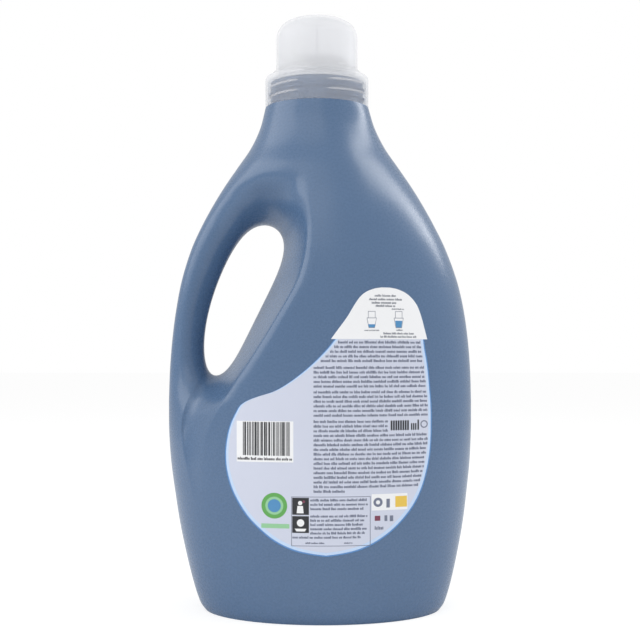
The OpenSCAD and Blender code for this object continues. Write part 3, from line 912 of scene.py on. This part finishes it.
@dataclass
class BackLabel:
    """The printed film on the label side, its print as fields and plain shapes with no lettering."""

    form: JugForm
    panel: Sides = (
        (36.1, 2.2, 4.1), (36.3, 0.4, 5.9), (36.9, -4.2, 10.5), (38.4, -11.8, 18.1), (41, -19, 25.5),
        (44.5, -25.3, 32), (49, -31, 38.2), (55, -37.2, 44.3), (62, -42.2, 49.6), (70, -46.3, 53.6),
        (79, -48.9, 56.3), (88, -49.7, 58), (97, -48.8, 58.7), (104, -46.9, 58.8), (110, -44.1, 58.8),
        (114.7, -40.9, 58.6), (117.9, -34.5, 58.4), (121.1, -24.5, 58.1), (125.5, -16.8, 57.7),
        (131, -9.4, 57.2), (137, -2.6, 56.4), (143, 3.2, 55.3), (148.2, 7.4, 54.6),
    )
    dome: Sides = (
        (148.4, 5.5, 56.4), (153, 8.9, 55.2), (160, 14, 53.3), (166, 17.6, 51), (170, 20.4, 48),
        (172.8, 23.6, 44.4), (174.6, 28, 40), (175.2, 31.4, 36.6), (175.35, 33.2, 34.8),
    )
    pitch: float = 2.4
    text_tall: float = 1.45

    def sides(self, z: float, inset: float) -> Point:
        """Left and right edges of the film at a height, moved in by an inset.

        Args:
            z: the height.
            inset: how far inside the film's own edge, both in millimetres.
        """
        if z >= self.dome[0][0]:
            rows, at = self.dome, z
        else:
            top, foot = self.panel[-1][0], self.panel[0][0]
            rows, at = self.panel, z - inset * (top - z) / (top - foot)
        left, right = (float(look(tuple((row[0], row[k]) for row in rows), at)) for k in (1, 2))
        return left + inset, right - inset

    def field_grid(self, heights: Array, inset: float, lift: float, cols: int = 64) -> Array:
        """Points of a field that follows the film's outline, inside it by an inset."""
        xs = np.array([np.linspace(*self.sides(float(z), inset), cols) for z in heights])
        return self.form.surface(xs, np.repeat(heights[:, None], cols, axis=1), lift)

    @staticmethod
    def rounded(low: float, high: float, rows: int) -> Array:
        """Heights from low to high, closer together at both ends."""
        return (low + high) / 2 - (high - low) / 2 * np.cos(np.pi * np.arange(rows) / (rows - 1))

    @staticmethod
    def grid_faces(rows: int, cols: int, offset: int) -> Faces:
        """Faces of a grid of points, facing the label side."""
        starts = [offset + r * cols + c for r in range(rows - 1) for c in range(cols - 1)]
        return [(p, p + 1, p + cols + 1, p + cols) for p in starts]

    def film(self) -> Piece:
        """The film itself, as a thin closed sheet."""
        spans = ((self.panel, 90), (self.dome, 40))
        heights = np.concatenate([self.rounded(side[0][0], side[-1][0], n) for side, n in spans])
        grid = self.field_grid(heights, inset=0, lift=0.16)
        made = make_object("label_film", grid.reshape(-1, 3), self.grid_faces(*grid.shape[:2], 0))
        apply_modifier(made, "SOLIDIFY", thickness=0.1 * MM, offset=-1.0)
        return made

    def ink_sheet(self, name: str, fields: list[Array]) -> Piece:
        """One mesh of several printed fields.

        Args:
            name: the piece's name.
            fields: grids of points.

        Returns:
            The printed mesh.
        """
        points, faces, offset = [], [], 0
        for grid in fields:
            rows, cols = grid.shape[:2]
            points.append(grid.reshape(-1, 3))
            faces += self.grid_faces(rows, cols, offset)
            offset += rows * cols
        return make_object(name, np.concatenate(points), faces)

    def block(
        self, x0: float, x1: float, z0: float, z1: float, lift: float, taper: float = 0.0
    ) -> Array:
        """A rectangle of print on the skin, drawn in at its foot by a taper on each side."""
        cols = max(2, int((x1 - x0) / 2) + 2)
        rows = max(2, int((z1 - z0) / 3) + 2)
        u, v = np.meshgrid(np.linspace(0, 1, cols), np.linspace(0, 1, rows))
        draw_in = taper * (1 - v)
        return self.form.surface(x0 + draw_in + u * (x1 - x0 - 2 * draw_in), z0 + v * (z1 - z0), lift)

    def disc(self, x: float, z: float, radius: float, lift: float, hollow: float = 0.0) -> Array:
        """A round of print that follows the skin, hollow inside a share of its radius."""
        r = radius * np.linspace(hollow, 1, 5)[:, None]
        turns = np.linspace(0, 2 * np.pi, 41)[None, :]
        return self.form.surface(x + r * np.cos(turns), z - r * np.sin(turns), lift)

    def blocks(self, lift: float, *corners: Line) -> list[Array]:
        """Rectangles of print, each by its left, right, foot and top."""
        return [self.block(*row, lift) for row in corners]

    def outline(
        self, x0: float, x1: float, z0: float, z1: float, line: float, lift: float
    ) -> list[Array]:
        """Four thin blocks that frame a rectangle."""
        low, high = (x0, x1, z0, z0 + line), (x0, x1, z1 - line, z1)
        return self.blocks(lift, low, high, (x0, x0 + line, z0, z1), (x1 - line, x1, z0, z1))

    def blind_text(self, rows: list[Line], seed: int, lift: float) -> list[Array]:
        """Blind text: short strokes in word groups that carry no letters.

        Args:
            rows: left, right, middle height and stroke height of each line.
            seed: start of the random draws.
            lift: distance off the skin.

        Returns:
            One small grid for each stroke.
        """
        draw = random.Random(seed)
        corners = []
        for left, right, middle, tall in rows:
            x, foot = left, middle - 0.4 * tall
            while x < right - 0.6:
                for _ in range(draw.randint(3, 10)):
                    wide = draw.uniform(0.3, 0.62) * tall / self.text_tall
                    high = tall * draw.choice((0.68, 0.72, 0.78, 1.0))
                    if x + wide > right:
                        break
                    corners.append((x, x + wide, foot, foot + high))
                    x += wide + 0.17 * tall / self.text_tall
                x += 0.5 * tall / self.text_tall
        strokes = np.array(corners)
        xs, zs = strokes[:, [[0, 1], [0, 1]]], strokes[:, [[2, 2], [3, 3]]]
        return list(self.form.surface(xs, zs, lift))

    def text_lines(self) -> list[Line]:
        """Lines of the text block and of the boxed note."""
        tall = self.text_tall
        lines = []
        for first, count in ((146.7, 5), (133.6, 5), (121.0, 6), (105.8, 16)):
            for k in range(count):
                middle = first - self.pitch * k
                left, right = self.sides(middle, 2.1)
                beside_bold = first < 110 and k < 3
                last = first < 110 and k == count - 1
                end = 35.2 if beside_bold else 12.7 if last else right
                lines.append((max(-3.3, left + (1.0 if first > 140 else -99)), end, middle, tall))
        lines += [(-5.0, 24.7 - (0, 0, 1.8)[k], 65.3 - 2.25 * k, 1.35) for k in range(3)]
        lines += [(-5.0, 24.7 - (0, 1, 2, 0.5, 1.2)[k], 57.0 - 2.2 * k, 1.35) for k in range(5)]
        lines += [(-14.2, 21.0, 46.0, 1.3), (-7.5, 2.3, 43.1, 0.9), (12.4, 17.0, 43.1, 0.9)]
        return lines

    def dome_lines(self) -> list[Line]:
        """Fine lines on the white dome."""
        lines = [(28.3, 39.6, 170.9, 1.15), (25.4, 43.0, 169.0, 1.15), (26.7, 40.4, 167.2, 1.15)]
        lines += [(28.8, 39.3, 165.6, 1.15), (39.6, 43.0, 153.1, 0.8), (32.8, 49.1, 151.3, 1.1)]
        lines += [(31.2, 50.4, 149.6, 1.1), (22.9, 30.6, 152.9, 0.7), (37.2, 44.4, 164.0, 0.7)]
        return lines

    def cups(self) -> tuple[list[Array], list[Array], list[Array]]:
        """The two small cup drawings: their outlines, their white inside and their fill."""
        lines, whites, fills = [], [], []
        for x, fill_top in ((26.7, 156.1), (40.9, 158.0)):
            lines += self.outline(x - 1.9, x + 1.9, 159.3, 162.9, line=0.22, lift=0.25)
            lines.append(self.block(x - 2.6, x + 2.6, 154.2, 159.5, 0.24, 1.0))
            whites.append(self.block(x - 2.35, x + 2.35, 154.45, 159.25, 0.26, 0.95))
            fills.append(self.block(x - 1.9, x + 1.9, 154.5, fill_top, 0.28, 0.5))
        return lines, whites, fills

    def bars(self) -> list[Array]:
        """Bars of the striped box, of random widths that encode nothing."""
        draw = random.Random(21)
        marks, x = [], -40.0
        while x < -15.6:
            wide = draw.choice((0.3, 0.45, 0.6, 0.95))
            marks.append(self.block(x, min(x + wide, -15.1), 88.2, 105.6, 0.25))
            x += wide + draw.choice((0.2, 0.3, 0.55))
        return marks

    def layers(self) -> list[tuple[str, InkTone, list[Array]]]:
        """Every printed layer: its name, its ink and its fields.

        The lifts rise by a hundredth of a millimetre or more from ink to ink, so that no two meet.
        """
        foot, joint = self.panel[0][0], self.dome[0][0]
        pale = self.field_grid(self.rounded(foot + 0.6, joint, 100), inset=0.65, lift=0.18)
        lavender = self.field_grid(self.rounded(foot + 1.9, joint, 100), inset=1.9, lift=0.2)
        white_rows = self.rounded(joint + 0.02, self.dome[-1][0] - 0.1, 50)
        dome = self.field_grid(white_rows, inset=0.08, lift=0.22)
        lines, whites, fills = self.cups()
        boxes = self.blocks(0.22, (-43.3, -13.7, 84.8, 106.0), (26.7, 45.6, 59.7, 68.2))
        bold = [(36.6 + 1.25 * k, 37.5 + 1.25 * k, 101.1, 106.2) for k in range(8)]
        bold += [(47.4 + 1.1 * k, 48.1 + 1.1 * k, 101.1, 104.6) for k in range(3)]
        bold.append((50.9, 51.7, 101.1, 106.4))
        figures = [self.disc(-10.2, 63.9, 1.1, 0.27), self.block(-11.6, -8.8, 58.6, 62.4, 0.27, -0.4)]
        figures += [self.disc(-10.0, 53.6, 1.9, 0.27), self.block(-13.0, -7.0, 49.2, 50.6, 0.27, 0.8)]
        frames = self.outline(-14.8, 26.1, 41.5, 67.2, line=0.3, lift=0.23)
        frames.append(self.disc(54.5, 104.0, 2.0, 0.25, hollow=0.72))
        frames.append(self.disc(30.0, 63.9, 2.4, 0.25, hollow=0.45))
        blacks = self.blocks(0.25, (-14.3, -5.7, 57.8, 66.6), (-14.3, -5.7, 48.4, 57.1), *bold)
        blacks += self.bars() + self.blind_text([(-42.8, -14.4, 86.4, 1.5)], seed=9, lift=0.26)
        leaves = [self.disc(-23.6, 62.3, 4.7, 0.24), self.block(-30.4, -15.8, 50.6, 52.9, 0.24)]
        plums = [self.block(28.3, 31.2, 54.3, 56.9, 0.25), self.disc(-8.4, 64.6, 0.7, 0.29)]
        small = ((33.4, 34.9, 54.0, 57.0), (36.2, 38.0, 53.8, 56.8), (34.4, 36.2, 61.0, 65.6))
        ashes = self.blocks(0.25, *small)
        ashes += self.blind_text([(28.3, 33.7, 50.4, 1.9)], seed=4, lift=0.26)
        return [
            ("print_pale_edge", InkTone.PALE, [pale]),
            ("print_lavender", InkTone.FIELD, [lavender]),
            ("print_white", InkTone.WHITE, [dome] + boxes + figures + whites),
            ("print_text", InkTone.TEXT, self.blind_text(self.text_lines(), seed=7, lift=0.24) + lines),
            ("print_fine", InkTone.FINE, self.blind_text(self.dome_lines(), seed=5, lift=0.26)),
            ("print_frame", InkTone.FRAME, frames),
            ("print_black", InkTone.BLACK, blacks),
            ("print_green", InkTone.GREEN, [self.disc(-23.6, 62.3, 6.7, 0.23, hollow=0.7)]),
            ("print_leaf", InkTone.LEAF, leaves),
            ("print_blue", InkTone.BLUE, [self.disc(-23.6, 62.3, 3.4, 0.26)] + fills),
            ("print_yellow", InkTone.YELLOW, [self.block(39.1, 45.3, 61.1, 66.8, 0.25)]),
            ("print_plum", InkTone.PLUM, plums),
            ("print_ash", InkTone.FRAME, ashes),
        ]

    def build(self) -> list[Piece]:
        """Builds the film and its print."""
        film = self.film()
        film.data.materials.append(InkTone.HALO.value.build())
        pieces = [film]
        finishes: dict[InkTone, bpy.types.Material] = {}
        for name, tone, fields in self.layers():
            sheet = self.ink_sheet(name, fields)
            if tone not in finishes:
                finishes[tone] = tone.value.build()
            sheet.data.materials.append(finishes[tone])
            pieces.append(sheet)
        for piece in pieces:
            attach(piece, "jug")
        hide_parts("back_label")
        return pieces


@dataclass
class Studio:
    """Floor, white room, lamps and camera, with the camera's numbers read from the photograph.

    Args:
        eye_z: height of the camera.
        distance: how far it stands before the object's middle, both in millimetres.
        focal_px: focal length in pixels of the picture.
        picture_px: width of the picture in pixels.
        horizon_px: row of the horizon from the picture's top.
        sensor: width of the sensor in millimetres.
        fill: strength of the room's light on the object.
        floor_glow: strength of the floor's own light, and its share in what the camera sees.
    """

    eye_z: float = 140.2
    distance: float = 680.0
    focal_px: float = 1218.0
    picture_px: float = 640.0
    horizon_px: float = 355.0
    sensor: float = 36.0
    fill: float = 0.72
    floor_glow: Point = (1.17, 0.62)

    def camera(self) -> None:
        """Sets the camera at the photograph's eye level and distance."""
        data = bpy.data.cameras.new("studio_camera")
        data.sensor_width = self.sensor
        data.lens = self.focal_px / self.picture_px * self.sensor
        data.shift_y = (self.horizon_px - self.picture_px / 2) / self.picture_px
        data.clip_end = 20
        camera = link_object("studio_camera", data)
        camera.location = (0, -self.distance * MM, self.eye_z * MM)
        camera.rotation_euler = (math.pi / 2, 0, 0)
        bpy.context.scene.camera = camera

    def floor(self) -> None:
        """A plain pale floor that runs on to the horizon."""
        made = make_object(
            "studio_floor",
            9000 * np.array([(-1, -1, 0), (1, -1, 0), (1, 1, 0), (-1, 1, 0)]),
            [(0, 1, 2, 3)],
        )
        material = bpy.data.materials.new("painted_floor_white")
        node = partial(add_node, empty_tree(material))
        strength, share = self.floor_glow
        matt = node("ShaderNodeBsdfDiffuse", {"Color": linear("#F7F7F7")})
        glow = node("ShaderNodeEmission", {"Color": WHITE, "Strength": strength})
        eye = node("ShaderNodeLightPath", {}).outputs["Is Camera Ray"]
        seen = node("ShaderNodeMath", {0: eye, 1: share}, operation="MULTIPLY")
        mix = node(
            "ShaderNodeMixShader",
            {"Fac": seen.outputs["Value"], 1: matt.outputs["BSDF"], 2: glow.outputs["Emission"]},
        )
        node("ShaderNodeOutputMaterial", {"Surface": mix.outputs["Shader"]})
        made.data.materials.append(material)

    def world(self) -> None:
        """A white room: white to the eye, and a softer fill on the object."""
        world = bpy.data.worlds.new("studio_world")
        bpy.context.scene.world = world
        node = partial(add_node, empty_tree(world))
        ray = node("ShaderNodeLightPath", {}).outputs
        seen = node(
            "ShaderNodeMath",
            {0: ray["Is Camera Ray"], 1: ray["Is Transmission Ray"]},
            operation="MAXIMUM",
        )
        fill, white = (
            node("ShaderNodeBackground", {"Color": WHITE, "Strength": strength}).outputs["Background"]
            for strength in (self.fill, 1.0)
        )
        mix = node("ShaderNodeMixShader", {"Fac": seen.outputs["Value"], 1: fill, 2: white})
        node("ShaderNodeOutputWorld", {"Surface": mix.outputs["Shader"]})

    def lamp(
        self, name: str, place: tuple[float, float, float], size: Point, watts: float, roll: float = 0.0
    ) -> None:
        """A soft box that faces the bottle's middle.

        Args:
            name: the lamp's name.
            place: where it stands, in metres.
            size: its width and height in metres.
            watts: its power.
            roll: how far it is turned about its own axis, in degrees.
        """
        data = bpy.data.lights.new(name, "AREA")
        data.shape = "RECTANGLE"
        data.size, data.size_y = size
        data.energy = watts
        lamp = link_object(name, data)
        lamp.location = place
        aim = -(lamp.location - Vector((0, 0, 0.17)))
        lamp.rotation_euler = aim.to_track_quat("-Z", "Y").to_euler()
        lamp.rotation_euler.rotate_axis("Z", math.radians(roll))

    def build(self) -> None:
        """Builds the studio."""
        self.camera()
        self.floor()
        self.world()
        self.lamp("strip_right", (0.91, 0.14, 0.97), (1.24, 0.28), 6.2, -39)
        self.lamp("box_left", (-1.05, -0.25, 0.85), (1.3, 0.8), 6)
        self.lamp("box_front", (-0.3, -1.2, 1.1), (1.2, 0.8), 2.6)
        bpy.context.scene.view_settings.view_transform = "Standard"


def main() -> None:
    """Builds the bottle's pieces in order and reports each of them."""
    logging.basicConfig(level=logging.INFO)
    form = JugForm()
    pieces = Jug(form).build()
    pieces += DosingCap(form.axis_x).build()
    pieces += BackLabel(form).build()
    spout = frame["nodes"]["pour_spout"]
    spout.data.materials.clear()
    spout.data.materials.append(SPOUT_PP.build())
    for piece in pieces:
        LOG.info("%s: %d faces", piece.name, len(piece.data.polygons))
    Studio().build()


if __name__ == "__main__":
    main()
